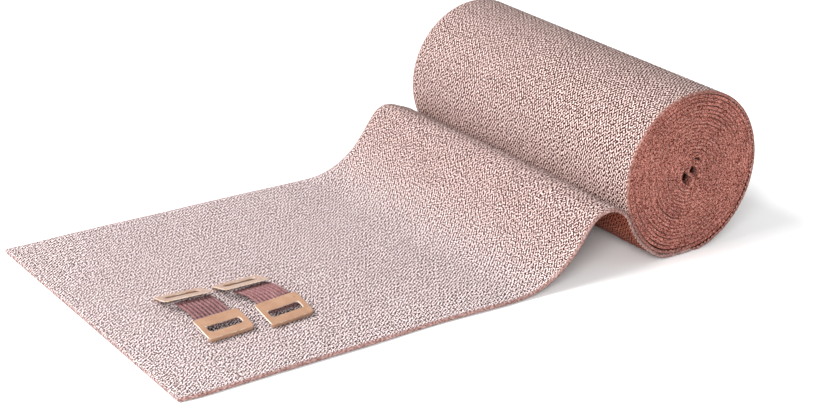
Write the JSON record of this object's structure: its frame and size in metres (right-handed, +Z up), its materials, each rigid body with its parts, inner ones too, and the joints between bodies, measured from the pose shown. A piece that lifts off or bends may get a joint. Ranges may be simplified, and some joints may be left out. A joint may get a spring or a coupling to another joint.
{
  "type": "short stretch bandage roll",
  "caption": "Wide elastic bandage wound into a roll, its loose end laid out flat from a soft fold, with slotted stretch clips for fastening it.",
  "frame": {"origin": "centre of the footprint on the surface the roll and its loose end lie on", "axes": "+X along the roll's axis, +Y from the cut end towards the roll, +Z up"},
  "size_m": [0.1218, 0.2169, 0.0559],
  "materials": {
    "bandage_cloth": "open crepe weave in two pinkish beige tones, matt and slightly fuzzy",
    "clip_plate": "tan lacquer on thin stamped steel, semi-gloss",
    "clip_elastic": "mauve covered elastic cords side by side, matt"
  },
  "bodies": {
    "root": {"wound_roll": "bandage_cloth", "loose_end": "bandage_cloth", "clip_a_front_plate": "clip_plate", "clip_a_rear_plate": "clip_plate", "clip_b_front_plate": "clip_plate", "clip_b_rear_plate": "clip_plate", "clip_a_band": "clip_elastic", "clip_b_band": "clip_elastic"}
  },
  "joints": []
}
